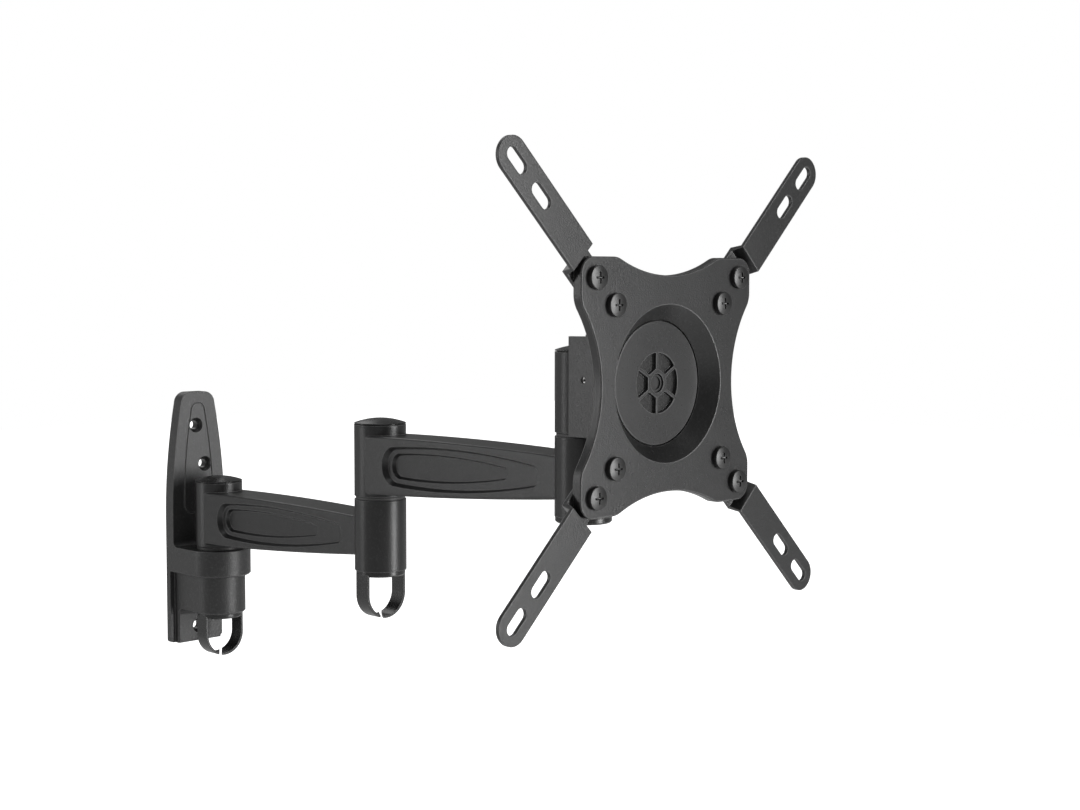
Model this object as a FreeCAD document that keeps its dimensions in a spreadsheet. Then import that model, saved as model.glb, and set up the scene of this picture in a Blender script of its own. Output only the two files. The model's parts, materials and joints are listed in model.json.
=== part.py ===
import FreeCAD, Part
import math
import os

import Sketcher

# Full motion television wall mount, arms stretched straight out from the wall.
# Frame: +Z up, +X right as seen from the room, the wall face is y = 0 and the
# television side is -Y. The origin is the centre of the wall plate's back face.
# All lengths are millimetres.

SIZES = {
    # reach and stacking
    "wall_offset": 30.1,        # wall face to the first swivel axis
    "arm_reach": 158.5,         # swivel axis to swivel axis, both arms
    "head_reach": 56.0,         # last swivel axis to the front of the television plate
    "screen_height": 101.5,     # centre of the television plate above the wall plate's centre
    "head_drop": 26.3,          # centre of the television plate above the head knuckle's foot
    # knuckles and what goes through them
    "knuckle_radius": 14.5,
    "knuckle_height": 39.8,
    "swivel_gap": 2.0,          # between two stacked knuckles
    "moving_gap": 0.3,          # air between pieces that move past each other
    "running_fit": 0.06,        # radial play of a turning bore on its shaft
    "seat_fit": 0.02,           # radial play of a piece pressed into a bore
    "bolt_radius": 5.0,
    "bolt_head_rim": 3.0,       # head beyond the shank
    "bolt_head_height": 6.0,
    "bolt_key_width": 6.0,      # across flats of the hexagon socket
    "bush_wall": 2.0,
    "bush_spacing": 4.8,        # between the two bushes of a knuckle
    "bolt_washer_rim": 1.0,     # washer beyond the head
    "bolt_washer_thickness": 1.2,
    "head_pocket_play": 1.0,    # round the washer
    "head_room": 0.9,           # above the bolt head
    "nut_width": 17.0,          # across flats
    "nut_height": 6.5,
    "nut_pocket_play": 0.7,     # round the nut's corners
    "nut_room": 0.4,            # below the nut
    "spring_washer_rim": 0.5,   # washer beyond the nut's flats
    "spring_washer_thickness": 1.5,
    "dome_height": 3.6,
    "dome_rim": 1.0,
    "cap_spigot": 0.6,          # how far a cap reaches into its pocket
    "foot_thickness": 3.0,      # flat caps under the knuckles
    "foot_chamfer": 0.8,
    "washer_inset": 0.8,        # friction washers inside the knuckles' sides
    # arms
    "web_root_inset": 0.5,      # flank of the web inside the knuckle's side
    "web_tip_inset": 2.5,
    "web_root_drop": 5.9,       # its top below the top of the root knuckle
    "web_tip_drop": 6.4,
    "web_top_bow": 1.35,        # how far its top stands up halfway
    "web_root_foot": 1.6,
    "web_tip_foot": 12.6,
    "web_foot_bow": 1.2,        # how far its foot sags halfway
    "web_edge_radius": 1.2,
    "panel_depth": 3.4,         # outer recess, below the flank at the root
    "panel_start": 19.9,
    "panel_tip_margin": 21.3,   # from its end to the tip's swivel axis
    "panel_root_drop": 6.0,     # its top edge below the web's top, at the root
    "panel_tip_drop": 6.5,
    "panel_root_foot": 9.9,
    "panel_tip_foot": 17.6,
    "panel_top_bow": 510.0,     # radius of its upper edge
    "panel_foot_bow": 430.0,
    "panel_root_corner": 8.4,
    "panel_tip_corner": 3.0,
    "inset_root_depth": 2.2,    # inner recess, below the floor of the outer one
    "inset_tip_depth": 1.2,
    "inset_start": 24.2,
    "inset_tip_margin": 23.4,   # from its end to the end of the outer recess
    "inset_root_drop": 3.1,     # its top edge below the outer one's
    "inset_tip_drop": 2.6,
    "inset_root_rise": 3.3,     # its foot above the outer one's
    "inset_tip_rise": 1.5,
    "inset_top_bow": 440.0,
    "inset_foot_bow": 390.0,
    "inset_root_corner": 5.4,
    "inset_tip_corner": 2.0,
    "recess_slope": 30.0,       # degrees, walls of both recesses
    "overcut": 1.0,             # how far a cut runs on outside the piece
    # wall bracket
    "plate_half_width": 19.3,
    "plate_top": 79.0,
    "plate_bottom": -79.0,
    "plate_thickness": 8.0,
    "flange_thickness": 3.8,
    "plate_side_radius": 380.0,
    "plate_shoulder": 72.0,
    "plate_crown_half_width": 6.0,
    "plate_crown_radius": 7.5,
    "plate_foot_radius": 2.0,
    "band_foot_radius": 0.5,    # lower corners of the thick part of the plate
    "collar_height": 16.2,
    "cup_wall": 1.3,            # cup beyond the knuckle above it
    "collar_fillet": 3.5,
    "cup_fillet": 4.0,
    "cup_bevel": 0.8,           # round the lower rims of collar and cup
    "screw_hole_radius": 2.8,
    "screw_sink_radius": 4.7,
    "screw_sink_depth": 3.0,
    "upper_hole_x": -1.3,
    "upper_hole_z": 58.0,
    "middle_hole_x": 4.8,
    "middle_hole_z": 33.3,
    "lower_hole_x": -0.8,
    "lower_hole_z": -69.5,
    "line_width": 0.6,          # fine groove round the plate's middle
    "line_depth": 0.5,
    "line_top": 72.5,
    "line_foot": 2.5,
    "line_crown_radius": 5.2,
    "line_half_width": 11.0,
    "line_corner": 6.0,
    "line_side_radius": 330.0,
    # cable clips
    "clip_disc_inset": 0.75,    # inside the knuckle's side
    "clip_finger_inset": 0.15,  # inside the disc's rim
    "clip_strip_width": 10.0,
    "clip_strip_thickness": 1.5,
    "clip_straight": 10.6,
    "clip_mouth": 1.6,
    "clip_mouth_slant": 0.7,    # sideways per length, so that cables don't slip out
    # swivel head and tilt hinge
    "head_half_width": 16.0,
    "head_back": 5.0,           # from the swivel axis forward
    "ear_neck": 6.0,            # from the front of the block to the tilt axis
    "head_overhang": 1.0,       # below the knuckle's foot
    "head_top": 47.8,
    "head_lip_length": 6.5,
    "head_lip_height": 1.1,
    "ear_air": 0.6,             # from the ears to the turning flange
    "ear_radius": 8.0,
    "ear_root_half_height": 11.0,
    "tongue_width": 15.4,
    "tongue_radius": 8.0,
    "tongue_clearance": 1.0,    # round the tongue's nose, in the block
    "tilt_bolt_radius": 3.0,
    "tilt_head_rim": 2.0,       # head beyond the shank
    "tilt_head_height": 3.4,
    "tilt_key_width": 4.0,
    "tilt_nut_width": 10.0,
    "tilt_nut_height": 4.0,
    "tilt_pocket_play": 0.5,
    "grub_radius": 1.5,
    "grub_length": 5.0,
    "grub_sink": 0.8,
    "grub_key_width": 1.5,
    "grub_y": 15.0,
    "grub_z": 26.8,
    # dish, hub and turning bearing
    "dish_rim_radius": 37.0,
    "dish_bevel": 0.5,
    "pan_rim_wall": 2.5,        # outside the dish, at the plate's back
    "pan_back_wall": 3.8,       # outside the dish, at the pan's floor
    "pan_floor_thickness": 3.0,
    "disc_depth": 7.6,          # front of the clamp disc behind the plate's front
    "disc_thickness": 2.4,
    "disc_radius": 29.7,
    "disc_clearance": 0.5,      # between its rim and the dish
    "disc_bevel": 0.5,
    "hub_radius": 14.5,
    "hub_depth": 1.8,
    "hub_boss_width": 12.7,     # across flats
    "hub_hole_depth": 3.0,
    "spoke_width": 1.5,
    "spoke_root": 0.5,          # how far a spoke runs into the boss and the rim
    "bearing_radius": 12.0,
    "bearing_step": 2.0,        # how far the disc's boss reaches behind the disc
    "turn_washer_thickness": 1.0,
    "turn_flange_radius": 24.0,
    "turn_flange_thickness": 3.8,
    "hub_screw_radius": 3.0,
    "hub_screw_head_radius": 4.2,
    "hub_screw_head_height": 2.2,
    "hub_screw_dimple_radius": 3.1,
    "hub_screw_dimple_depth": 0.8,
    "hub_screw_length": 9.5,
    # television plate
    "screen_plate_thickness": 5.0,
    "hole_margin": 9.5,         # outer screws to the plate's edge
    "screen_plate_corner": 8.0,
    "screen_plate_bevel": 0.5,
    "side_waist": 46.2,
    "side_waist_radius": 62.0,
    "top_waist": 51.0,
    "top_waist_radius": 77.0,
    "waist_blend": 12.0,
    "outer_hole_spacing": 100.0,
    "inner_hole_spacing": 75.0,
    # extension arms
    "strip_width": 17.0,
    "strip_thickness": 2.0,
    "strip_proud": 0.8,         # front of the strip ahead of the plate's front
    "strip_end_margin": 11.6,   # from the outer slot's middle to the end
    "strip_end_flat": 0.2,      # half of what is left straight at the end
    "strip_corner_gap": 0.1,    # from the plate's corner to the fold
    "strip_bend_run": 1.6,
    "strip_tab_margin": 7.0,    # from the inner screw to the tab's end
    "slot_width": 6.4,
    "slot_length": 14.0,
    "slot_pattern": 200.0,      # square on which the outer slots lie
    "slot_pitch": 20.8,         # from the outer slot to the inner one
    # screws and nuts that hold the extension arms
    "arm_screw_radius": 2.5,
    "arm_hole_clearance": 0.2,
    "arm_screw_head_radius": 5.5,
    "arm_screw_head_height": 3.0,
    "arm_screw_edge_height": 1.6,
    "cross_length": 5.6,
    "cross_width": 1.0,
    "cross_depth": 1.6,
    "arm_nut_width": 8.0,
    "arm_nut_height": 4.0,
}


class Size:
    """A length together with the spreadsheet expression that gives it."""

    def __init__(self, value, text):
        self.value = value
        self.text = text

    def __add__(self, other):
        other = as_size(other)
        return Size(self.value + other.value, f"({self.text} + {other.text})")

    def __sub__(self, other):
        other = as_size(other)
        return Size(self.value - other.value, f"({self.text} - {other.text})")

    def __mul__(self, other):
        other = as_size(other)
        return Size(self.value * other.value, f"({self.text} * {other.text})")

    def __truediv__(self, other):
        other = as_size(other)
        return Size(self.value / other.value, f"({self.text} / {other.text})")

    def __neg__(self):
        return Size(-self.value, f"(0 - {self.text})")

    def __radd__(self, other):
        return as_size(other) + self

    def __rsub__(self, other):
        return as_size(other) - self

    def __rmul__(self, other):
        return as_size(other) * self

    def root(self):
        return Size(math.sqrt(self.value), f"sqrt({self.text})")


def as_size(number):
    if isinstance(number, Size):
        return number
    return Size(float(number), f"({float(number)!r})")


class Sheet:
    """The spreadsheet of driving dimensions; each alias reads as an attribute."""

    def __init__(self, document):
        self.cells = document.addObject("Spreadsheet::Sheet", "Sizes")
        for row, (alias, value) in enumerate(SIZES.items(), start=1):
            self.cells.set(f"A{row}", alias)
            self.cells.set(f"B{row}", str(value))
            self.cells.setAlias(f"B{row}", alias)
            setattr(self, alias, Size(value, f"Sizes.{alias}"))


doc = FreeCAD.newDocument("tv_wall_mount")
d = Sheet(doc)
doc.recompute()

PIECES = []


# ---------------------------------------------------------------- helpers


def bind(thing, name, size):
    thing.setExpression(name, as_size(size).text)


def new_body(label, x=0, y=0, z=0, rotation=None):
    """A piece of its own, placed with its local origin at (x, y, z)."""
    body = doc.addObject("PartDesign::Body", label)
    body.Label = label
    if rotation is not None:
        body.Placement = FreeCAD.Placement(FreeCAD.Vector(), rotation)
    for axis, value in zip("xyz", (x, y, z)):
        bind(body, f".Placement.Base.{axis}", value)
    PIECES.append(body)
    return body


def new_sketch(body, role, offset=0):
    """A sketch on one of the body's planes. XY looks along +Z, XZ along -Y, YZ along +X."""
    sketch = body.newObject("Sketcher::SketchObject", f"{body.Name}_sketch")
    plane = next(f for f in body.Origin.OriginFeatures if f.Role == role)
    sketch.AttachmentSupport = [(plane, "")]
    sketch.MapMode = "FlatFace"
    bind(sketch, ".AttachmentOffset.Base.z", offset)
    return sketch


def constrain(sketch, kind, *where, size=None):
    """Adds a constraint; one with a size is bound to the spreadsheet."""
    if size is None:
        sketch.addConstraint(Sketcher.Constraint(kind, *where))
        return
    index = sketch.addConstraint(Sketcher.Constraint(kind, *where, size.value))
    bind(sketch, f"Constraints[{index}]", size)


def circle(sketch, x, y, radius):
    x, y, radius = as_size(x), as_size(y), as_size(radius)
    centre = FreeCAD.Vector(x.value, y.value, 0)
    ring = Part.Circle(centre, FreeCAD.Vector(0, 0, 1), radius.value)
    index = sketch.addGeometry(ring, False)
    constrain(sketch, "DistanceX", -1, 1, index, 3, size=x)
    constrain(sketch, "DistanceY", -1, 1, index, 3, size=y)
    constrain(sketch, "Radius", index, size=radius)


def edge_between(start, end, bend):
    """A line, or an arc whose centre is left of the way when bend is positive.

    Returns the geometry and which of its ends is the start and which the end.
    """
    if bend is None:
        return Part.LineSegment(start, end), 1, 2
    chord = end - start
    across = FreeCAD.Vector(-chord.y, chord.x, 0).normalize()
    rise = math.sqrt(max(bend.value**2 - chord.Length**2 / 4, 0))
    centre = (start + end) * 0.5 + across * math.copysign(rise, bend.value)
    ring = Part.Circle(centre, FreeCAD.Vector(0, 0, 1), abs(bend.value))
    first = math.atan2(start.y - centre.y, start.x - centre.x)
    last = math.atan2(end.y - centre.y, end.x - centre.x)
    if bend.value > 0:
        return Part.ArcOfCircle(ring, first, last), 1, 2
    return Part.ArcOfCircle(ring, last, first), 2, 1


def outline(sketch, corners):
    """A closed loop. A corner is (x, y), or (x, y, bend) when an arc leads on from it."""
    corners = [tuple(as_size(v) for v in corner) for corner in corners]
    points = [FreeCAD.Vector(c[0].value, c[1].value, 0) for c in corners]
    ends = []
    for i, corner in enumerate(corners):
        bend = corner[2] if len(corner) > 2 else None
        edge, start, end = edge_between(points[i], points[(i + 1) % len(points)], bend)
        index = sketch.addGeometry(edge, False)
        ends.append((index, start, end))
        constrain(sketch, "DistanceX", -1, 1, index, start, size=corner[0])
        constrain(sketch, "DistanceY", -1, 1, index, start, size=corner[1])
        if bend is not None:
            constrain(sketch, "Radius", index, size=bend if bend.value > 0 else -bend)
    for (index, _, end), (follower, start, _) in zip(ends, ends[1:] + ends[:1]):
        constrain(sketch, "Coincident", index, end, follower, start)


def rectangle(sketch, left, bottom, right, top):
    outline(sketch, [(left, bottom), (right, bottom), (right, top), (left, top)])


def hexagon(sketch, width, x=0, y=0):
    """A regular hexagon of this width across flats, with corners up and down."""
    corner = as_size(width) / math.sqrt(3)
    half = as_size(width) / 2
    ring = [(0, corner), (-half, corner / 2), (-half, -corner / 2)]
    ring += [(0, -corner), (half, -corner / 2), (half, corner / 2)]
    outline(sketch, [(x + as_size(u), y + as_size(v)) for u, v in ring])


def slot(sketch, first, last, radius):
    """A straight slot along x with round ends centred on first and last."""
    outline(
        sketch,
        [
            (first, -radius),
            (last, -radius, radius),
            (last + radius, 0, radius),
            (last, radius),
            (first, radius, radius),
            (first - radius, 0, radius),
        ],
    )


def feature(body, kind, sketch, length=None, reverse=False, both=False):
    """Pads or pockets a sketch; with no length a pocket goes through everything."""
    made = body.newObject(f"PartDesign::{kind}", f"{body.Name}_{kind.lower()}")
    made.Profile = sketch
    made.Reversed = reverse
    made.Midplane = both
    if length is None:
        made.Type = 1
    else:
        bind(made, "Length", length)
    return made


def pad(body, sketch, length, reverse=False, both=False):
    return feature(body, "Pad", sketch, length, reverse, both)


def pocket(body, sketch, length=None, reverse=False, both=False):
    return feature(body, "Pocket", sketch, length, reverse, both)


def turn(body, sketch, axis="V_Axis", cut=False):
    """Turns a profile round one of its sketch's axes."""
    kind = "Groove" if cut else "Revolution"
    made = body.newObject(f"PartDesign::{kind}", f"{body.Name}_{kind.lower()}")
    made.Profile = sketch
    made.ReferenceAxis = (sketch, [axis])
    made.Angle = 360
    return made


def soften(body, kind, base, length, is_wanted):
    """Fillets or chamfers the edges of base whose ends and centre all pass the test."""
    doc.recompute()
    names = [
        f"Edge{i}"
        for i, edge in enumerate(base.Shape.Edges, start=1)
        if all(is_wanted(v.Point) for v in edge.Vertexes) and is_wanted(edge.CenterOfMass)
    ]
    made = body.newObject(f"PartDesign::{kind}", f"{body.Name}_{kind.lower()}")
    made.Base = (base, names)
    bind(made, "Radius" if kind == "Fillet" else "Size", length)
    return made


def near(a, b):
    return abs(a - as_size(b).value) < 0.01


def tube(label, z, y, inner, outer, height, groups=1, step=0):
    """A plain ring standing on z, repeated upwards when it comes in several pieces."""
    if groups == 1:
        body = new_body(label, 0, y, z)
        sketch = new_sketch(body, "XY_Plane")
        circle(sketch, 0, 0, outer)
        circle(sketch, 0, 0, inner)
        pad(body, sketch, height)
        return
    rings = []
    for i in range(groups):
        wall = doc.addObject("Part::Cylinder", f"{label}_outside_{i + 1}")
        bind(wall, "Radius", outer)
        bind(wall, "Height", height)
        hole = doc.addObject("Part::Cylinder", f"{label}_inside_{i + 1}")
        bind(hole, "Radius", inner)
        bind(hole, "Height", height)
        ring = doc.addObject("Part::Cut", f"{label}_{i + 1}")
        ring.Base = wall
        ring.Tool = hole
        for part in (wall, hole):
            bind(part, ".Placement.Base.y", y)
            bind(part, ".Placement.Base.z", z + i * as_size(step))
        rings.append(ring)
    group(label, rings)


def group(label, members):
    """Several equal pieces in one node."""
    whole = doc.addObject("Part::Compound", label)
    whole.Label = label
    whole.Links = members
    PIECES.append(whole)


# ------------------------------------------------- sizes that follow others

bolt_head_radius = d.bolt_radius + d.bolt_head_rim
bolt_washer_radius = bolt_head_radius + d.bolt_washer_rim
bush_radius = d.bolt_radius + d.bush_wall
head_pocket_radius = bolt_washer_radius + d.head_pocket_play
head_stack = d.moving_gap + d.bolt_washer_thickness + d.bolt_head_height
head_pocket_depth = head_stack + d.head_room + d.cap_spigot
bush_length = (d.knuckle_height - head_pocket_depth - d.bush_spacing) / 2
nut_pocket_radius = d.nut_width / math.sqrt(3) + d.nut_pocket_play
nut_stack = d.spring_washer_thickness + d.nut_height
nut_pocket_depth = nut_stack + d.nut_room + d.cap_spigot
spring_washer_radius = d.nut_width / 2 + d.spring_washer_rim

root_half_width = d.knuckle_radius - d.web_root_inset
tip_half_width = d.knuckle_radius - d.web_tip_inset
web_root_top = d.knuckle_height - d.web_root_drop
web_tip_top = d.knuckle_height - d.web_tip_drop
cup_radius = d.knuckle_radius + d.cup_wall
clip_disc_radius = d.knuckle_radius - d.clip_disc_inset

dish_floor_radius = d.disc_radius + d.disc_clearance
pan_rim_radius = d.dish_rim_radius + d.pan_rim_wall
pan_back_radius = dish_floor_radius + d.pan_back_wall
hub_hole_radius = d.hub_screw_head_radius + d.moving_gap
tilt_head_radius = d.tilt_bolt_radius + d.tilt_head_rim
tilt_pocket_depth = d.tilt_nut_height + d.tilt_pocket_play

screen_plate_half = d.outer_hole_spacing / 2 + d.hole_margin
arm_hole_radius = d.arm_screw_radius + d.arm_hole_clearance
strip_tab = d.inner_hole_spacing / math.sqrt(2) - d.strip_tab_margin
outer_slot = d.slot_pattern / math.sqrt(2)
inner_slot = outer_slot - d.slot_pitch
strip_end = outer_slot + d.strip_end_margin

# Depths of the turning bearing, back from the front of the television plate.
disc_back = d.disc_depth + d.disc_thickness
bearing_front = disc_back + d.bearing_step
pan_front = disc_back + d.moving_gap
pan_back = pan_front + d.pan_floor_thickness
turn_washer_front = pan_back + d.moving_gap
turn_washer_back = turn_washer_front + d.turn_washer_thickness
turn_flange_back = turn_washer_back + d.turn_flange_thickness
tilt_offset = turn_flange_back + d.ear_air + d.ear_radius
head_front = d.head_reach - tilt_offset - d.ear_neck
hub_screw_seat = d.disc_depth + d.hub_hole_depth
hub_screw_tip = hub_screw_seat + d.hub_screw_length

# ------------------------------------------------- places along the mount

wall_axis_y = -d.wall_offset
elbow_axis_y = wall_axis_y - d.arm_reach
head_axis_y = elbow_axis_y - d.arm_reach
screen_y = head_axis_y - d.head_reach
tilt_y = screen_y + tilt_offset

stack_step = d.knuckle_height + d.dome_height + d.swivel_gap
head_foot = d.screen_height - d.head_drop
second_foot = head_foot - stack_step
first_foot = second_foot - stack_step
collar_top = first_foot - d.swivel_gap


# ----------------------------------------------------------- wall bracket


def plate_outline(sketch, foot, foot_radius):
    """The tall tapered plate: straight below, bowed sides above and a rounded crown."""
    side = d.plate_side_radius
    drop = side - (side * side - d.plate_shoulder * d.plate_shoulder).root()
    half = d.plate_half_width
    shoulder = half - drop
    crown = d.plate_crown_half_width
    outline(
        sketch,
        [
            (foot_radius - half, foot),
            (half - foot_radius, foot, foot_radius),
            (half, foot + foot_radius),
            (half, 0, side),
            (shoulder, d.plate_shoulder, d.plate_crown_radius),
            (crown, d.plate_top),
            (-crown, d.plate_top, d.plate_crown_radius),
            (-shoulder, d.plate_shoulder, side),
            (-half, 0),
            (-half, foot + foot_radius, foot_radius),
        ],
    )


def tongue_outline(half, centre, back=0):
    """A straight-sided block with a half-round nose centred on the swivel axis."""
    return [
        (-half, back),
        (-half, centre, half),
        (0, centre - half, half),
        (half, centre),
        (half, back),
    ]


def fine_line(sketch):
    """The narrow loop round the middle of the plate's front."""
    for inset in (as_size(0), d.line_width):
        crown = d.line_crown_radius - inset
        half = d.line_half_width - inset
        corner = d.line_corner - inset
        shoulder = d.line_top - d.line_crown_radius
        foot = d.line_foot + inset
        outline(
            sketch,
            [
                (corner - half, foot),
                (half - corner, foot, corner),
                (half, foot + corner, d.line_side_radius),
                (crown, shoulder, crown),
                (0, shoulder + crown, crown),
                (-crown, shoulder, d.line_side_radius),
                (-half, foot + corner, corner),
            ],
        )


def build_wall_bracket():
    body = new_body("wall_bracket")
    collar_foot = collar_top - d.collar_height
    cup_foot = collar_top - d.knuckle_height
    front = -d.plate_thickness

    sketch = new_sketch(body, "XZ_Plane")
    plate_outline(sketch, d.plate_bottom, d.plate_foot_radius)
    pad(body, sketch, d.flange_thickness)

    sketch = new_sketch(body, "XZ_Plane")
    plate_outline(sketch, collar_foot, d.band_foot_radius)
    pad(body, sketch, d.plate_thickness)

    sketch = new_sketch(body, "XZ_Plane")
    rectangle(sketch, -cup_radius, d.plate_bottom, cup_radius, collar_foot)
    pad(body, sketch, d.plate_thickness)

    sketch = new_sketch(body, "XY_Plane", collar_foot)
    outline(sketch, tongue_outline(d.plate_half_width, wall_axis_y))
    collar = pad(body, sketch, d.collar_height)

    def at_nose(point):
        return point.y < front.value - d.cup_fillet.value

    def at_collar_rim(point):
        return near(point.z, collar_foot) and at_nose(point)

    soften(body, "Chamfer", collar, d.cup_bevel, at_collar_rim)

    sketch = new_sketch(body, "XY_Plane", cup_foot)
    outline(sketch, tongue_outline(cup_radius, wall_axis_y))
    cup = pad(body, sketch, d.knuckle_height - d.collar_height)

    def at_collar(point):
        return near(point.z, collar_top) and near(point.y, front)

    def at_cup(point):
        return near(point.z, cup_foot) and near(point.y, front)

    def at_cup_rim(point):
        return near(point.z, cup_foot) and at_nose(point)

    upper = soften(body, "Fillet", cup, d.collar_fillet, at_collar)
    lower = soften(body, "Fillet", upper, d.cup_fillet, at_cup)
    soften(body, "Chamfer", lower, d.cup_bevel, at_cup_rim)

    sketch = new_sketch(body, "XY_Plane", cup_foot)
    circle(sketch, 0, wall_axis_y, d.bolt_radius + d.seat_fit)
    pocket(body, sketch, reverse=True)

    sketch = new_sketch(body, "XY_Plane", cup_foot)
    circle(sketch, 0, wall_axis_y, nut_pocket_radius)
    pocket(body, sketch, nut_pocket_depth, reverse=True)

    sketch = new_sketch(body, "XZ_Plane", d.plate_thickness)
    fine_line(sketch)
    pocket(body, sketch, d.line_depth)

    for x, z in (
        (d.upper_hole_x, d.upper_hole_z),
        (d.middle_hole_x, d.middle_hole_z),
        (d.lower_hole_x, d.lower_hole_z),
    ):
        sketch = new_sketch(body, "XZ_Plane")
        circle(sketch, x, z, d.screw_hole_radius)
        pocket(body, sketch, d.plate_thickness, reverse=True)
        sketch = new_sketch(body, "XZ_Plane", d.plate_thickness)
        circle(sketch, x, z, d.screw_sink_radius)
        sink = pocket(body, sketch, d.screw_sink_depth)
        slope = math.atan2(
            (d.screw_sink_radius - d.screw_hole_radius).value, d.screw_sink_depth.value
        )
        sink.TaperAngle = -math.degrees(slope)


# ----------------------------------------------- what each swivel is made of


def hex_socket(body, top, width, depth):
    sketch = new_sketch(body, "XY_Plane", top)
    hexagon(sketch, width)
    pocket(body, sketch, depth)


def build_swivel(name, y, gap_foot, clip):
    """Everything between and inside two stacked knuckles.

    gap_foot is the top of the lower knuckle, which holds the bolt. The upper
    knuckle turns on it with two bushes.
    """
    fit = d.bolt_radius + d.running_fit
    upper_foot = gap_foot + d.swivel_gap
    upper_top = upper_foot + d.knuckle_height
    lower_foot = gap_foot - d.knuckle_height
    pocket_floor = upper_top - head_pocket_depth
    nut_ceiling = lower_foot + nut_pocket_depth
    head_foot = pocket_floor + d.moving_gap + d.bolt_washer_thickness
    nut_top = nut_ceiling - d.spring_washer_thickness
    shank_foot = nut_top - d.nut_height

    bolt = new_body(f"{name}_pivot_bolt", 0, y, shank_foot)
    sketch = new_sketch(bolt, "XY_Plane")
    circle(sketch, 0, 0, d.bolt_radius)
    pad(bolt, sketch, head_foot - shank_foot)
    sketch = new_sketch(bolt, "XY_Plane", head_foot - shank_foot)
    circle(sketch, 0, 0, bolt_head_radius)
    pad(bolt, sketch, d.bolt_head_height)
    head_top = head_foot - shank_foot + d.bolt_head_height
    hex_socket(bolt, head_top, d.bolt_key_width, d.bolt_head_height / 2)

    tube(
        f"{name}_bolt_washer",
        pocket_floor + d.moving_gap,
        y,
        fit,
        bolt_washer_radius,
        d.bolt_washer_thickness,
    )
    washer_radius = d.knuckle_radius - d.washer_inset
    washer_thickness = d.swivel_gap - d.moving_gap
    tube(f"{name}_friction_washer", gap_foot, y, fit, washer_radius, washer_thickness)
    bush_step = pocket_floor - upper_foot - bush_length
    bush_outer = bush_radius - d.seat_fit
    tube(f"{name}_bushes", upper_foot, y, fit, bush_outer, bush_length, 2, bush_step)
    tube(
        f"{name}_spring_washer",
        nut_top,
        y,
        fit,
        spring_washer_radius,
        d.spring_washer_thickness,
    )

    nut = new_body(f"{name}_nut", 0, y, shank_foot)
    sketch = new_sketch(nut, "XY_Plane")
    hexagon(sketch, d.nut_width)
    circle(sketch, 0, 0, d.bolt_radius + d.seat_fit)
    pad(nut, sketch, d.nut_height)

    build_dome(f"{name}_dome_cap", y, upper_top)
    if clip:
        build_clip(f"{name}_cable_clip", y, lower_foot)
    else:
        build_foot_cap(f"{name}_foot_cap", y, lower_foot)


def build_dome(label, y, z):
    """A domed cap that closes the top of a knuckle, with a spigot in the pocket."""
    body = new_body(label, 0, y, z)
    rise = d.dome_height - d.dome_rim
    bow = (d.knuckle_radius * d.knuckle_radius + rise * rise) / (2 * rise)
    spigot = head_pocket_radius - d.seat_fit
    sketch = new_sketch(body, "XZ_Plane")
    outline(
        sketch,
        [
            (0, -d.cap_spigot),
            (spigot, -d.cap_spigot),
            (spigot, 0),
            (d.knuckle_radius, 0),
            (d.knuckle_radius, d.dome_rim, bow),
            (0, d.dome_height),
        ],
    )
    turn(body, sketch)


def foot_profile(radius):
    """The half section of a flat cap, with its spigot up in the nut's pocket."""
    spigot = nut_pocket_radius - d.seat_fit
    return [
        (0, -d.foot_thickness),
        (radius - d.foot_chamfer, -d.foot_thickness),
        (radius, d.foot_chamfer - d.foot_thickness),
        (radius, 0),
        (spigot, 0),
        (spigot, d.cap_spigot),
        (0, d.cap_spigot),
    ]


def build_foot_cap(label, y, z):
    body = new_body(label, 0, y, z)
    sketch = new_sketch(body, "XZ_Plane")
    outline(sketch, foot_profile(d.knuckle_radius - d.moving_gap))
    turn(body, sketch)


def build_clip(label, y, z):
    """A flat cap with two springy fingers that bend round to meet below it."""
    body = new_body(label, 0, y, z)
    sketch = new_sketch(body, "XZ_Plane")
    outline(sketch, foot_profile(clip_disc_radius))
    turn(body, sketch)

    outer = clip_disc_radius - d.clip_finger_inset
    inner = outer - d.clip_strip_thickness
    root = -d.foot_thickness / 2
    bend = -d.foot_thickness - d.clip_straight
    sketch = new_sketch(body, "XZ_Plane")
    outline(
        sketch,
        [
            (-outer, root),
            (-outer, bend, outer),
            (0, bend - outer, outer),
            (outer, bend),
            (outer, root),
            (inner, root),
            (inner, bend, -inner),
            (0, bend - inner, -inner),
            (-inner, bend),
            (-inner, root),
        ],
    )
    pad(body, sketch, d.clip_strip_width, both=True)

    side = d.clip_strip_width / 2 + d.overcut
    slant = side * d.clip_mouth_slant
    mouth = d.clip_mouth / 2
    sketch = new_sketch(body, "XY_Plane", bend - outer)
    outline(
        sketch,
        [
            (-mouth - slant, -side),
            (mouth - slant, -side),
            (mouth + slant, side),
            (slant - mouth, side),
        ],
    )
    pocket(body, sketch, outer, reverse=True)


# ------------------------------------------------------------------- arms


def rounded_section(sketch, half, foot, top, corner):
    outline(
        sketch,
        [
            (corner - half, foot),
            (half - corner, foot, corner),
            (half, foot + corner),
            (half, top - corner, corner),
            (half - corner, top),
            (corner - half, top, corner),
            (-half, top - corner),
            (-half, foot + corner, corner),
        ],
    )


def rounding(corner, tilt):
    """How far a corner's arc reaches along and across when it runs on at this slope."""
    return corner * (1 - tilt), corner * (1 - tilt * tilt).root()


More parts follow.
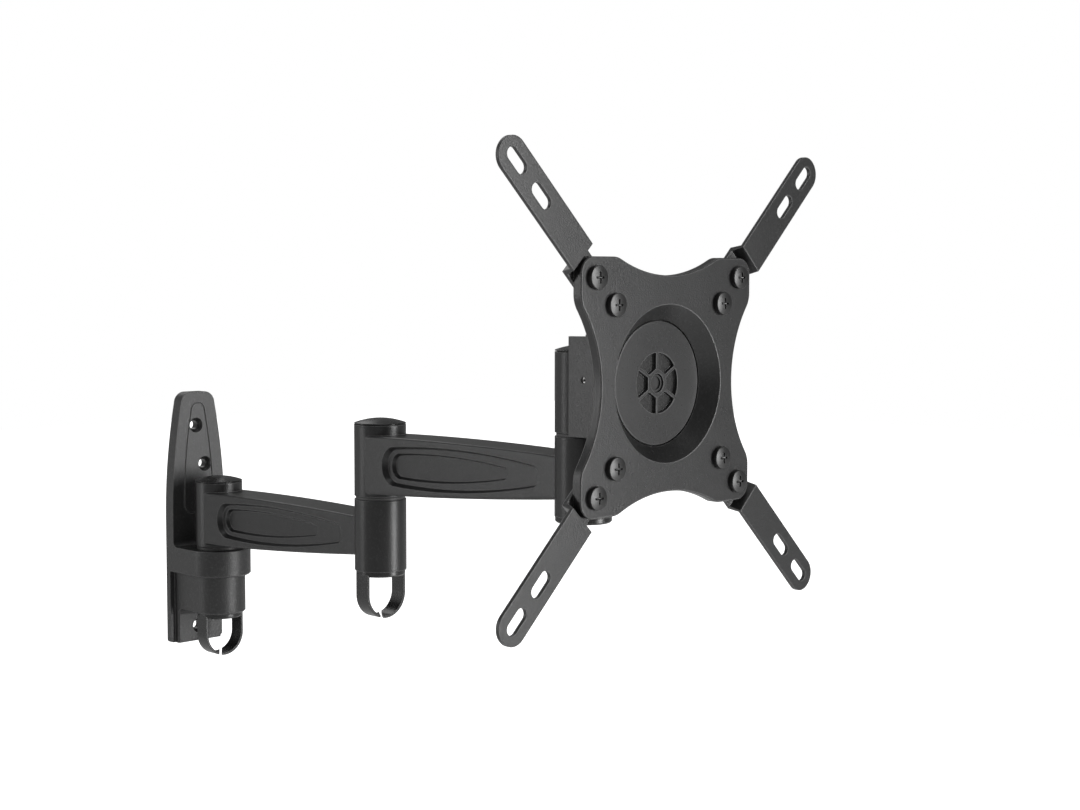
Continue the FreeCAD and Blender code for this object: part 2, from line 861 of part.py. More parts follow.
def panel_outline(ends, feet, tops, bows, corners):
    """A recess floor seen from the side: a leaf with a wide root and a blunt tip.

    Every pair but bows is (root, tip). Bows are the radii of the foot and the top.
    """
    length = ends[1] - ends[0]
    foot_bend, top_bend = length / (2 * bows[0]), length / (2 * bows[1])
    foot_rise, top_fall = (feet[1] - feet[0]) / length, (tops[0] - tops[1]) / length
    root_foot = rounding(corners[0], foot_bend - foot_rise)
    root_top = rounding(corners[0], top_bend - top_fall)
    tip_foot = rounding(corners[1], foot_bend + foot_rise)
    tip_top = rounding(corners[1], top_bend + top_fall)
    return [
        (tip_foot[0] - ends[1], feet[1], bows[0]),
        (-(ends[0] + root_foot[0]), feet[0], corners[0]),
        (-ends[0], feet[0] + root_foot[1]),
        (-ends[0], tops[0] - root_top[1], corners[0]),
        (-(ends[0] + root_top[0]), tops[0], bows[1]),
        (tip_top[0] - ends[1], tops[1], corners[1]),
        (-ends[1], tops[1] - tip_top[1]),
        (-ends[1], feet[1] + tip_foot[1], corners[1]),
    ]


def cut_recess(body, side, floor, lean, corners):
    """Sinks a panel into one flank; a leaning floor grows shallower towards the tip."""
    sketch = new_sketch(body, "YZ_Plane", side * floor)
    angle = math.degrees(math.atan(lean.value))
    turned = FreeCAD.Rotation(FreeCAD.Vector(0, 1, 0), side * angle)
    sketch.AttachmentOffset = FreeCAD.Placement(sketch.AttachmentOffset.Base, turned)
    outline(sketch, corners)
    depth = root_half_width - floor + d.overcut
    cut = pocket(body, sketch, depth, reverse=side > 0)
    bind(cut, "TaperAngle", d.recess_slope)


def cut_panels(body):
    """The two-step recess in each flank of an arm."""
    panel_end = d.arm_reach - d.panel_tip_margin
    feet = d.panel_root_foot, d.panel_tip_foot
    tops = web_root_top - d.panel_root_drop, web_tip_top - d.panel_tip_drop
    outer = panel_outline(
        (d.panel_start, panel_end),
        feet,
        tops,
        (d.panel_foot_bow, d.panel_top_bow),
        (d.panel_root_corner, d.panel_tip_corner),
    )
    inset_end = panel_end - d.inset_tip_margin
    inner = panel_outline(
        (d.inset_start, inset_end),
        (feet[0] + d.inset_root_rise, feet[1] + d.inset_tip_rise),
        (tops[0] - d.inset_root_drop, tops[1] - d.inset_tip_drop),
        (d.inset_foot_bow, d.inset_top_bow),
        (d.inset_root_corner, d.inset_tip_corner),
    )
    floor = root_half_width - d.panel_depth
    lean = (d.inset_root_depth - d.inset_tip_depth) / (inset_end - d.inset_start)
    inner_floor = floor - d.inset_root_depth - lean * d.inset_start
    for side in (1, -1):
        cut_recess(body, side, floor, as_size(0), outer)
        cut_recess(body, side, inner_floor, lean, inner)


def build_arm(label, root_y, foot):
    """One cast arm. Its root knuckle turns; its tip knuckle holds the next bolt."""
    body = new_body(label, 0, root_y, foot)
    reach = -d.arm_reach

    half = (root_half_width + tip_half_width) / 2
    foot = (d.web_root_foot + d.web_tip_foot) / 2 - d.web_foot_bow
    top = (web_root_top + web_tip_top) / 2 + d.web_top_bow
    sections = []
    for offset, *across in (
        (0, root_half_width, d.web_root_foot, web_root_top),
        (d.arm_reach / 2, half, foot, top),
        (d.arm_reach, tip_half_width, d.web_tip_foot, web_tip_top),
    ):
        section = new_sketch(body, "XZ_Plane", offset)
        rounded_section(section, *across, d.web_edge_radius)
        sections.append(section)
    web = body.newObject("PartDesign::AdditiveLoft", f"{label}_web")
    web.Profile = sections[0]
    web.Sections = sections[1:]

    cut_panels(body)

    sketch = new_sketch(body, "XY_Plane")
    circle(sketch, 0, 0, d.knuckle_radius)
    pad(body, sketch, d.knuckle_height)
    sketch = new_sketch(body, "XY_Plane", d.dome_height)
    circle(sketch, 0, reach, d.knuckle_radius)
    pad(body, sketch, d.knuckle_height)

    sketch = new_sketch(body, "XY_Plane")
    circle(sketch, 0, 0, bush_radius)
    pocket(body, sketch, reverse=True)
    sketch = new_sketch(body, "XY_Plane", d.knuckle_height)
    circle(sketch, 0, 0, head_pocket_radius)
    pocket(body, sketch, head_pocket_depth)
    sketch = new_sketch(body, "XY_Plane")
    circle(sketch, 0, reach, d.bolt_radius + d.seat_fit)
    pocket(body, sketch, reverse=True)
    sketch = new_sketch(body, "XY_Plane", d.dome_height)
    circle(sketch, 0, reach, nut_pocket_radius)
    pocket(body, sketch, nut_pocket_depth, reverse=True)


# ------------------------------------------------ swivel head, tilt hinge


def build_swivel_head():
    """The last knuckle, with the block and the two ears that carry the tilt hinge."""
    body = new_body("swivel_head", 0, head_axis_y, head_foot)
    half = d.head_half_width
    pivot_y = tilt_y - head_axis_y
    pivot_z = d.head_drop

    sketch = new_sketch(body, "XY_Plane")
    circle(sketch, 0, 0, d.knuckle_radius)
    pad(body, sketch, d.knuckle_height)

    sketch = new_sketch(body, "YZ_Plane")
    outline(
        sketch,
        [
            (-head_front, -d.head_overhang),
            (-d.head_back, -d.head_overhang),
            (-d.head_back, d.head_top),
            (d.head_lip_length - head_front, d.head_top),
            (d.head_lip_length - head_front, d.head_top + d.head_lip_height),
            (-head_front, d.head_top + d.head_lip_height),
        ],
    )
    pad(body, sketch, 2 * half, both=True)

    sketch = new_sketch(body, "YZ_Plane")
    ear, root = d.ear_radius, d.ear_root_half_height
    outline(
        sketch,
        [
            (-head_front, pivot_z - root),
            (-head_front, pivot_z + root),
            (pivot_y, pivot_z + ear, ear),
            (pivot_y - ear, pivot_z, ear),
            (pivot_y, pivot_z - ear),
        ],
    )
    pad(body, sketch, 2 * half, both=True)

    sketch = new_sketch(body, "YZ_Plane")
    circle(sketch, pivot_y, pivot_z, d.tongue_radius + d.tongue_clearance)
    pocket(body, sketch, d.tongue_width + 2 * d.moving_gap, both=True)

    sketch = new_sketch(body, "XY_Plane", d.knuckle_height)
    circle(sketch, 0, 0, d.knuckle_radius + d.moving_gap)
    pocket(body, sketch, reverse=True)
    sketch = new_sketch(body, "XY_Plane", d.knuckle_height)
    circle(sketch, 0, 0, head_pocket_radius)
    pocket(body, sketch, head_pocket_depth)
    sketch = new_sketch(body, "XY_Plane", -d.head_overhang)
    circle(sketch, 0, 0, d.knuckle_radius + d.moving_gap)
    pocket(body, sketch, d.head_overhang, reverse=True)
    sketch = new_sketch(body, "XY_Plane")
    circle(sketch, 0, 0, bush_radius)
    pocket(body, sketch, reverse=True)

    sketch = new_sketch(body, "YZ_Plane", -half)
    circle(sketch, pivot_y, pivot_z, d.tilt_bolt_radius + d.seat_fit)
    pocket(body, sketch, reverse=True)
    sketch = new_sketch(body, "YZ_Plane", half)
    circle(sketch, pivot_y, pivot_z, tilt_head_radius + d.tilt_pocket_play)
    pocket(body, sketch, tilt_pocket_depth)
    sketch = new_sketch(body, "YZ_Plane", -half)
    nut_corner = d.tilt_nut_width / math.sqrt(3)
    circle(sketch, pivot_y, pivot_z, nut_corner + d.tilt_pocket_play)
    pocket(body, sketch, tilt_pocket_depth, reverse=True)
    sketch = new_sketch(body, "YZ_Plane", -half)
    circle(sketch, -d.grub_y, d.grub_z, d.grub_radius + d.seat_fit)
    pocket(body, sketch, d.grub_sink + d.grub_length, reverse=True)


def build_grub_screw():
    body = new_body(
        "head_grub_screw",
        d.grub_sink - d.head_half_width,
        head_axis_y - d.grub_y,
        head_foot + d.grub_z,
    )
    sketch = new_sketch(body, "YZ_Plane")
    circle(sketch, 0, 0, d.grub_radius)
    pad(body, sketch, d.grub_length)
    sketch = new_sketch(body, "YZ_Plane")
    hexagon(sketch, d.grub_key_width)
    pocket(body, sketch, d.grub_length / 2, reverse=True)


def build_tilt_hinge():
    """The bolt across the ears and its nut, which clamp the tongue and brake the tilt."""
    floor = d.head_half_width - tilt_pocket_depth
    bolt = new_body("tilt_bolt", 0, tilt_y, d.screen_height)
    sketch = new_sketch(bolt, "YZ_Plane", -(floor + d.tilt_nut_height))
    circle(sketch, 0, 0, d.tilt_bolt_radius)
    pad(bolt, sketch, 2 * floor + d.tilt_nut_height)
    sketch = new_sketch(bolt, "YZ_Plane", floor)
    circle(sketch, 0, 0, tilt_head_radius)
    pad(bolt, sketch, d.tilt_head_height)
    sketch = new_sketch(bolt, "YZ_Plane", floor + d.tilt_head_height)
    hexagon(sketch, d.tilt_key_width)
    pocket(bolt, sketch, d.tilt_head_height / 2)

    nut = new_body("tilt_nut", 0, tilt_y, d.screen_height)
    sketch = new_sketch(nut, "YZ_Plane", -(floor + d.tilt_nut_height))
    hexagon(sketch, d.tilt_nut_width)
    circle(sketch, 0, 0, d.tilt_bolt_radius + d.seat_fit)
    pad(nut, sketch, d.tilt_nut_height)


def build_tilt_tongue():
    """The block that nods between the ears, with the flange the plate turns on."""
    body = new_body("tilt_tongue", 0, tilt_y, d.screen_height)
    flange_back = turn_flange_back - tilt_offset

    sketch = new_sketch(body, "YZ_Plane")
    nose = d.tongue_radius
    outline(
        sketch,
        [
            (flange_back, -nose),
            (0, -nose, nose),
            (nose, 0, nose),
            (0, nose),
            (flange_back, nose),
        ],
    )
    pad(body, sketch, d.tongue_width, both=True)

    sketch = new_sketch(body, "XZ_Plane", -flange_back)
    circle(sketch, 0, 0, d.turn_flange_radius)
    pad(body, sketch, d.turn_flange_thickness)
    sketch = new_sketch(body, "XZ_Plane", -flange_back + d.turn_flange_thickness)
    circle(sketch, 0, 0, d.bearing_radius)
    pad(body, sketch, turn_washer_back - bearing_front)

    sketch = new_sketch(body, "YZ_Plane", -d.head_half_width)
    circle(sketch, 0, 0, d.tilt_bolt_radius + d.running_fit)
    pocket(body, sketch, reverse=True)

    sketch = new_sketch(body, "XZ_Plane", tilt_offset - bearing_front)
    circle(sketch, 0, 0, d.hub_screw_radius + d.seat_fit)
    pocket(body, sketch, hub_screw_tip - bearing_front)


# --------------------------------------------- clamp disc, plate and bearing


def build_clamp_disc():
    """The round disc in the dish; its spoked hub is screwed to the tilt tongue."""
    body = new_body("clamp_disc", 0, screen_y, d.screen_height)
    front = d.disc_depth
    sketch = new_sketch(body, "YZ_Plane")
    outline(
        sketch,
        [
            (front, 0),
            (bearing_front, 0),
            (bearing_front, d.bearing_radius),
            (disc_back, d.bearing_radius),
            (disc_back, d.disc_radius),
            (front + d.disc_bevel, d.disc_radius),
            (front, d.disc_radius - d.disc_bevel),
        ],
    )
    turn(body, sketch, "H_Axis")

    sketch = new_sketch(body, "XZ_Plane", -front)
    circle(sketch, 0, 0, d.hub_radius)
    hexagon(sketch, d.hub_boss_width)
    pocket(body, sketch, d.hub_depth)

    spoke = new_sketch(body, "XZ_Plane", -(front + d.hub_depth))
    rectangle(
        spoke,
        -d.spoke_width / 2,
        d.hub_boss_width / 2 - d.spoke_root,
        d.spoke_width / 2,
        d.hub_radius + d.spoke_root,
    )
    first = pad(body, spoke, d.hub_depth)
    ring = body.newObject("PartDesign::PolarPattern", "clamp_disc_spokes")
    ring.Originals = [first]
    ring.Axis = (spoke, ["N_Axis"])
    ring.Angle = 360
    ring.Occurrences = 6
    body.Tip = ring

    sketch = new_sketch(body, "XZ_Plane", -front)
    circle(sketch, 0, 0, hub_hole_radius)
    pocket(body, sketch, d.hub_hole_depth)
    sketch = new_sketch(body, "XZ_Plane", -front)
    circle(sketch, 0, 0, d.hub_screw_radius + d.seat_fit)
    pocket(body, sketch)


def build_hub_screw():
    body = new_body("hub_screw", 0, screen_y, d.screen_height)
    head_front = hub_screw_seat - d.hub_screw_head_height
    sketch = new_sketch(body, "YZ_Plane")
    outline(
        sketch,
        [
            (head_front + d.hub_screw_dimple_depth, 0),
            (hub_screw_tip, 0),
            (hub_screw_tip, d.hub_screw_radius),
            (hub_screw_seat, d.hub_screw_radius),
            (hub_screw_seat, d.hub_screw_head_radius),
            (head_front, d.hub_screw_head_radius),
            (head_front, d.hub_screw_dimple_radius),
            (head_front + d.hub_screw_dimple_depth, d.hub_screw_dimple_radius),
        ],
    )
    turn(body, sketch, "H_Axis")


def build_turn_washer():
    body = new_body("turn_washer", 0, screen_y, d.screen_height)
    sketch = new_sketch(body, "XZ_Plane", -turn_washer_back)
    circle(sketch, 0, 0, d.turn_flange_radius)
    circle(sketch, 0, 0, d.bearing_radius + d.seat_fit)
    pad(body, sketch, d.turn_washer_thickness)


def waist(half, depth, radius, blend):
    """Where a waist's hollow arc meets its blend, and where the blend meets the edge.

    Gives the two distances along the edge and how far the meeting point stands out.
    """
    reach = radius + blend
    drop = depth + radius - half + blend
    straight = (reach * reach - drop * drop).root()
    along = straight * radius / reach
    out = depth + radius - drop * radius / reach
    return along, out, straight


def screen_plate_outline(sketch):
    half, corner, blend = screen_plate_half, d.screen_plate_corner, d.waist_blend
    side = waist(half, d.side_waist, d.side_waist_radius, blend)
    top = waist(half, d.top_waist, d.top_waist_radius, blend)
    inner = half - corner
    first = [
        (side[1], side[0], blend),
        (half, side[2]),
        (half, inner, corner),
        (inner, half),
        (top[2], half, blend),
        (top[0], top[1], -d.top_waist_radius),
    ]
    second = [
        (-top[0], top[1], blend),
        (-top[2], half),
        (-inner, half, corner),
        (-half, inner),
        (-half, side[2], blend),
        (-side[1], side[0], -d.side_waist_radius),
    ]
    upper = first + second
    lower = [(-corner[0], -corner[1], *corner[2:]) for corner in upper]
    outline(sketch, upper + lower)


def build_screen_plate():
    """The waisted plate with its round dish, which turns on the bearing boss."""
    body = new_body("screen_plate", 0, screen_y, d.screen_height)
    sketch = new_sketch(body, "XZ_Plane")
    screen_plate_outline(sketch)
    slab = pad(body, sketch, d.screen_plate_thickness, reverse=True)

    def at_front(point):
        return near(point.y, 0)

    soften(body, "Chamfer", slab, d.screen_plate_bevel, at_front)

    sketch = new_sketch(body, "YZ_Plane")
    outline(
        sketch,
        [
            (d.screen_plate_thickness / 2, 0),
            (pan_back, 0),
            (pan_back, pan_back_radius),
            (d.screen_plate_thickness, pan_rim_radius),
            (d.screen_plate_thickness / 2, pan_rim_radius),
        ],
    )
    turn(body, sketch, "H_Axis")

    sketch = new_sketch(body, "YZ_Plane")
    bevel = d.dish_bevel
    outline(
        sketch,
        [
            (-bevel, 0),
            (pan_front, 0),
            (pan_front, dish_floor_radius),
            (d.disc_depth, dish_floor_radius),
            (bevel, d.dish_rim_radius),
            (-bevel, d.dish_rim_radius + 2 * bevel),
        ],
    )
    turn(body, sketch, "H_Axis", cut=True)

    sketch = new_sketch(body, "XZ_Plane", -pan_back)
    circle(sketch, 0, 0, d.bearing_radius + d.running_fit)
    pocket(body, sketch, reverse=True)

    sketch = new_sketch(body, "XZ_Plane")
    for spacing in (d.outer_hole_spacing, d.inner_hole_spacing):
        for x in (spacing / 2, -spacing / 2):
            for z in (spacing / 2, -spacing / 2):
                circle(sketch, x, z, arm_hole_radius)
    pocket(body, sketch, d.screen_plate_thickness)


# ---------------------------------------------------- extension arms, screws


CORNERS = {
    "upper_left": 135,
    "upper_right": 45,
    "lower_left": 225,
    "lower_right": 315,
}


def build_extension_arm(corner, angle):
    """A bent strip: its tab lies behind the plate, its slotted end in front of it.

    Local x runs out along the diagonal and local z towards the television.
    """
    upright = FreeCAD.Rotation(FreeCAD.Vector(1, 0, 0), 90)
    spun = FreeCAD.Rotation(FreeCAD.Vector(0, 1, 0), -angle)
    label = f"extension_arm_{corner}"
    body = new_body(label, 0, screen_y, d.screen_height, spun.multiply(upright))

    front, back = d.strip_proud, -d.screen_plate_thickness
    thick = d.strip_thickness
    plate_corner = (screen_plate_half - d.screen_plate_corner) * math.sqrt(2)
    low = plate_corner + d.screen_plate_corner + d.strip_corner_gap + thick / 2
    bend = low + d.strip_bend_run
    sketch = new_sketch(body, "XZ_Plane")
    outline(
        sketch,
        [
            (strip_tab, back - thick),
            (low + thick / 2, back - thick),
            (bend + thick / 2, front - thick),
            (strip_end, front - thick),
            (strip_end, front),
            (bend, front),
            (low - thick / 2, back),
            (strip_tab, back),
        ],
    )
    strip = pad(body, sketch, d.strip_width, both=True)

    def at_end(point):
        return near(point.x, strip_end)

    doc.recompute()
    names = [
        f"Edge{i}"
        for i, edge in enumerate(strip.Shape.Edges, start=1)
        if all(at_end(v.Point) for v in edge.Vertexes)
        and abs(edge.tangentAt(edge.FirstParameter).z) > 0.9
    ]
    end = body.newObject("PartDesign::Fillet", f"{label}_end")
    end.Base = (strip, names)
    bind(end, "Radius", d.strip_width / 2 - d.strip_end_flat)

    sketch = new_sketch(body, "XY_Plane", front)
    half = (d.slot_length - d.slot_width) / 2
    for middle in (outer_slot, inner_slot):
        slot(sketch, middle - half, middle + half, d.slot_width / 2)
    pocket(body, sketch, d.strip_thickness)
    sketch = new_sketch(body, "XY_Plane", back)
    for spacing in (d.outer_hole_spacing, d.inner_hole_spacing):
        circle(sketch, spacing / math.sqrt(2), 0, arm_hole_radius)
    pocket(body, sketch, d.strip_thickness)


def hole_places():
    """Where the eight screws go, in x and z about the plate's centre."""
    for spacing in (d.outer_hole_spacing, d.inner_hole_spacing):
        for right in (1, -1):
            for up in (1, -1):
                yield right * spacing / 2, up * spacing / 2


def build_arm_screws():
    """Pan-head screws with a cross recess, one in each of the plate's eight holes."""
    screws = []
    shank_length = d.screen_plate_thickness + d.strip_thickness + d.arm_nut_height
    dome = d.arm_screw_head_height - d.arm_screw_edge_height
    bow = (d.arm_screw_head_radius * d.arm_screw_head_radius + dome * dome) / (2 * dome)
    for number, (x, z) in enumerate(hole_places(), start=1):
        body = doc.addObject("PartDesign::Body", f"arm_screw_{number}")
        bind(body, ".Placement.Base.x", x)
        bind(body, ".Placement.Base.y", screen_y)
        bind(body, ".Placement.Base.z", d.screen_height + z)
        sketch = new_sketch(body, "YZ_Plane")
        outline(
            sketch,
            [
                (-d.arm_screw_head_height, 0, -bow),
                (-d.arm_screw_edge_height, d.arm_screw_head_radius),
                (0, d.arm_screw_head_radius),
                (0, d.arm_screw_radius),
                (shank_length, d.arm_screw_radius),
                (shank_length, 0),
            ],
        )
        turn(body, sketch, "H_Axis")
        for along, across in (
            (d.cross_length, d.cross_width),
            (d.cross_width, d.cross_length),
        ):
            sketch = new_sketch(body, "XZ_Plane", d.arm_screw_head_height)
            rectangle(sketch, -along / 2, -across / 2, along / 2, across / 2)
            pocket(body, sketch, d.cross_depth)
        screws.append(body)
    group("arm_screws", screws)


def build_arm_nuts():
    nuts = []
    seat = screen_y + d.screen_plate_thickness + d.strip_thickness
    for number, (x, z) in enumerate(hole_places(), start=1):
        body = doc.addObject("PartDesign::Body", f"arm_nut_{number}")
        bind(body, ".Placement.Base.x", x)
        bind(body, ".Placement.Base.y", seat)
        bind(body, ".Placement.Base.z", d.screen_height + z)
        sketch = new_sketch(body, "XZ_Plane")
        hexagon(sketch, d.arm_nut_width)
        circle(sketch, 0, 0, d.arm_screw_radius + d.seat_fit)
        pad(body, sketch, d.arm_nut_height, reverse=True)
        nuts.append(body)
    group("arm_nuts", nuts)


# ------------------------------------------------------------ whole assembly

build_wall_bracket()
build_arm("first_arm", wall_axis_y, first_foot)
build_arm("second_arm", elbow_axis_y, second_foot)
build_swivel("wall", wall_axis_y, collar_top, clip=True)
build_swivel("elbow", elbow_axis_y, second_foot - d.swivel_gap, clip=True)
build_swivel("head", head_axis_y, head_foot - d.swivel_gap, clip=False)
build_swivel_head()
build_grub_screw()
build_tilt_hinge()
build_tilt_tongue()
build_turn_washer()
build_clamp_disc()
build_hub_screw()
build_screen_plate()
for corner, angle in CORNERS.items():
    build_extension_arm(corner, angle)
build_arm_screws()
build_arm_nuts()

doc.recompute()

failed = [o.Name for o in doc.Objects if {"Invalid", "Error"} & set(o.State)]
if failed:
    raise RuntimeError(f"these objects failed: {failed}")
os.makedirs("parts", exist_ok=True)
for piece in PIECES:
    if piece.Shape.isNull() or not piece.Shape.isValid():
        raise RuntimeError(f"{piece.Label} has no valid shape")
for piece in PIECES:
    piece.Shape.exportStep(f"parts/{piece.Label}.step")
    print(f"{piece.Label:30s} {len(piece.Shape.Solids):2d} {piece.Shape.Volume:10.1f}")
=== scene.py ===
# %% [markdown]
# # A wall mount for a television, finished in black
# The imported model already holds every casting, arm, plate and pivot at its real size.
# This lesson adds what a buyer would look at: the sandy powder coat, the satin plastic caps,
# the screws with their cross recesses, and the light of a small product studio. Lengths are
# metres.

# %% Load the frame
import json
import math

import bpy
import numpy as np
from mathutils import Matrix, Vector


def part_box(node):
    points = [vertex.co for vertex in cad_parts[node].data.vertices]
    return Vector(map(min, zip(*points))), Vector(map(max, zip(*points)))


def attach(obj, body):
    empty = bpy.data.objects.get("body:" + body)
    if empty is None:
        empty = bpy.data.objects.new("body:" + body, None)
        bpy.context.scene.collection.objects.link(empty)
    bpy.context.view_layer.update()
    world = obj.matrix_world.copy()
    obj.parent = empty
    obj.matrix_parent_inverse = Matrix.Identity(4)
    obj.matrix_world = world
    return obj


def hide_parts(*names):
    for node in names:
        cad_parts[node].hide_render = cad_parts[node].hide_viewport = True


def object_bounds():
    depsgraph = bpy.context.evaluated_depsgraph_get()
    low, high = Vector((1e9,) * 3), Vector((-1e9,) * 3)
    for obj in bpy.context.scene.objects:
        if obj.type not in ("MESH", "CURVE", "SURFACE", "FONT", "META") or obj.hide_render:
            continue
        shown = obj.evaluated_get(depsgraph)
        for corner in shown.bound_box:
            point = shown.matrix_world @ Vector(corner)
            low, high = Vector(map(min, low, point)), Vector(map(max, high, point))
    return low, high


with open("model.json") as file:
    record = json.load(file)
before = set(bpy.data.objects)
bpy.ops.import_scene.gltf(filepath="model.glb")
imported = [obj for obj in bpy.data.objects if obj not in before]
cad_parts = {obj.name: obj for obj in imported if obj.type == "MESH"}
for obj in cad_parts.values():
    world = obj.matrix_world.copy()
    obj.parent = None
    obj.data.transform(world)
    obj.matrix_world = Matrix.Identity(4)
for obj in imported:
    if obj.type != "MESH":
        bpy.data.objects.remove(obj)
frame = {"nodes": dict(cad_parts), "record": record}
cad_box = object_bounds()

nodes = frame["nodes"]
print(len(nodes), "pieces from the frame, box", [list(corner) for corner in cad_box])

# %% [markdown]
# ## The camera
# The mount is seen a little from its left and from above, with the screen plate towards us.
# The camera is set by its heading, how far it looks down, a trace of roll, and where it
# stands. The lens is long, as in product work, so the plate's sides stay nearly parallel.

# %% Camera
look_round = math.radians(-44.42)
look_down = math.radians(4.14)
camera_roll = math.radians(-0.09)
camera_place = (-0.6325, -0.9614, 0.1523)

camera_data = bpy.data.cameras.new("studio_camera")
camera_data.sensor_width = 36.0
camera_data.lens = 59.6
camera = bpy.data.objects.new("studio_camera", camera_data)
camera.rotation_mode = "XYZ"
camera.rotation_euler = (math.pi / 2 - look_down, camera_roll, look_round)
camera.location = camera_place
bpy.context.scene.collection.objects.link(camera)
bpy.context.scene.camera = camera
bpy.context.scene.view_settings.view_transform = "Standard"
print("camera at", list(camera.location), "lens", camera_data.lens)

# %% [markdown]
# ## A class for shader sums
# Node graphs are sums and products of fields. Wrapping a socket in a small class lets an
# ordinary Python expression, such as `1 - mask * 0.3`, place the Math nodes for us.
# `Graph.add` is the one way in which any other node is made.


# %% Shader helpers
class Field:
    """A number that varies over a surface: one output socket of a node."""

    def __init__(self, graph, socket):
        self.graph = graph
        self.socket = socket

    def sum(self, operation, *others):
        return self.graph.add("Math", {"operation": operation}, [self, *others])

    def __add__(self, other):
        return self.sum("ADD", other)

    def __sub__(self, other):
        return self.sum("SUBTRACT", other)

    def __mul__(self, other):
        return self.sum("MULTIPLY", other)

    def __rsub__(self, other):
        return self.graph.add("Math", {"operation": "SUBTRACT"}, [other, self])

    __radd__ = __add__
    __rmul__ = __mul__

    def step(self, low, high):
        """0 below low, 1 above high, and a smooth rise between them."""
        settings = {"interpolation_type": "SMOOTHSTEP"}
        values = {"Value": self, "From Min": low, "From Max": high}
        return self.graph.add("MapRange", settings, values)


class Graph:
    """One material's nodes, made through a single method."""

    def __init__(self, name):
        self.material = bpy.data.materials.new(name)
        self.material.use_nodes = True
        self.tree = self.material.node_tree
        self.tree.nodes.clear()
        self.place = self.add("TexCoord", {}, {}, output="Object")

    def add(self, kind, settings, values, output=0):
        """Makes a node, sets its settings, then fills its sockets by name or by order."""
        node = self.tree.nodes.new("ShaderNode" + kind)
        for key, value in settings.items():
            setattr(node, key, value)
        pairs = values.items() if isinstance(values, dict) else enumerate(values)
        for key, value in pairs:
            socket = node.inputs[key]
            if isinstance(value, Field):
                self.tree.links.new(value.socket, socket)
            else:
                socket.default_value = value
        return Field(self, node.outputs[output]) if len(node.outputs) else node

    def noise(self, size, detail=2.0, roughness=0.5):
        """Cloudy noise whose blobs are about `size` metres across, from 0 to 1."""
        values = {
            "Vector": self.place,
            "Scale": 1.0 / size,
            "Detail": detail,
            "Roughness": roughness,
        }
        return self.add("TexNoise", {}, values, output="Fac")

    def grains(self, size):
        """Distance from the middle of the nearest grain: 0 in the middle, about 0.7 outside."""
        values = {"Vector": self.place, "Scale": 1.0 / size}
        return self.add("TexVoronoi", {"feature": "F1"}, values, output="Distance")

    def blend(self, factor, dark, bright):
        """A colour between two colours, by the factor; 6 and 7 are the Mix node's colours."""
        values = {0: factor, 6: dark, 7: bright}
        return self.add("Mix", {"data_type": "RGBA"}, values, output=2)

    def rounded_edges(self, radius):
        """How sharply the surface turns within `radius`: 0 on a flat, up to 1 on a corner."""
        soft = self.add("Bevel", {"samples": 6}, {"Radius": radius})
        true = self.add("NewGeometry", {}, {}, output="Normal")
        turn = self.add("VectorMath", {"operation": "DOT_PRODUCT"}, [soft, true], output="Value")
        return soft, 1.0 - turn

    def bump(self, height, depth, normal):
        """The normal, bumped: height from 0 to 1 stands for `depth` metres of relief."""
        values = {"Strength": 1.0, "Distance": depth, "Height": height, "Normal": normal}
        return self.add("Bump", {}, values)

    def surface(self, varying, **constant):
        """The Principled shader: varying inputs are fields, constant ones plain numbers."""
        values = {**{key.replace("_", " "): value for key, value in constant.items()}, **varying}
        shader = self.add("BsdfPrincipled", {}, values)
        self.add("OutputMaterial", {}, {"Surface": shader})
        return self.material


def grey(level, warmth=0.0):
    """A neutral colour, a touch warmer or cooler if asked, with full alpha."""
    return (level * (1 + warmth), level, level * (1 - warmth), 1.0)


print("shader helpers ready")

# %% [markdown]
# ## The light of the studio
# Black parts are drawn by what they reflect. A broad lamp in front, a little to the right,
# brightens the wall plate and gives each round knuckle its right-hand streak. A narrow one
# behind on the left gives the other streak and picks out the arms' flanks. Soft lamps above
# and high behind keep the tops and the back readable. The room that the gloss mirrors is
# paler on the left and dim elsewhere. The white behind the mount comes from the world as
# camera rays see it, so it adds no light to the mount.

# %% World and lamps
room_level = 0.55
mirror_dim = 0.17
mirror_pale = 0.42
pale_side = Vector((-0.80, 0.60, 0.0))
pale_from, pale_full = 0.25, 1.0

world = bpy.data.worlds.new("studio_world")
world.use_nodes = True
bpy.context.scene.world = world
world_tree = world.node_tree
world_tree.nodes.clear()
links = world_tree.links


def backdrop(level):
    """A white background of this strength for the world."""
    node = world_tree.nodes.new("ShaderNodeBackground")
    node.inputs["Color"].default_value = (1.0, 1.0, 1.0, 1.0)
    node.inputs["Strength"].default_value = level
    return node


def choose(factor, when_no, when_yes):
    """Mixes two world shaders by a factor socket."""
    node = world_tree.nodes.new("ShaderNodeMixShader")
    links.new(factor, node.inputs[0])
    links.new(when_no.outputs[0], node.inputs[1])
    links.new(when_yes.outputs[0], node.inputs[2])
    return node


ray = world_tree.nodes.new("ShaderNodeLightPath")
direction = world_tree.nodes.new("ShaderNodeTexCoord")
sideness = world_tree.nodes.new("ShaderNodeVectorMath")
sideness.operation = "DOT_PRODUCT"
sideness.inputs[1].default_value = pale_side
rise = world_tree.nodes.new("ShaderNodeMapRange")
rise.interpolation_type = "SMOOTHSTEP"
rise.inputs["From Min"].default_value = pale_from
rise.inputs["From Max"].default_value = pale_full
rise.inputs["To Min"].default_value = mirror_dim
rise.inputs["To Max"].default_value = mirror_pale
mirrored = backdrop(1.0)
links.new(direction.outputs["Generated"], sideness.inputs[0])
links.new(sideness.outputs["Value"], rise.inputs["Value"])
links.new(rise.outputs[0], mirrored.inputs["Strength"])
seen_by_mirror = choose(ray.outputs["Is Glossy Ray"], backdrop(room_level), mirrored)
seen_by_camera = choose(ray.outputs["Is Camera Ray"], seen_by_mirror, backdrop(1.0))
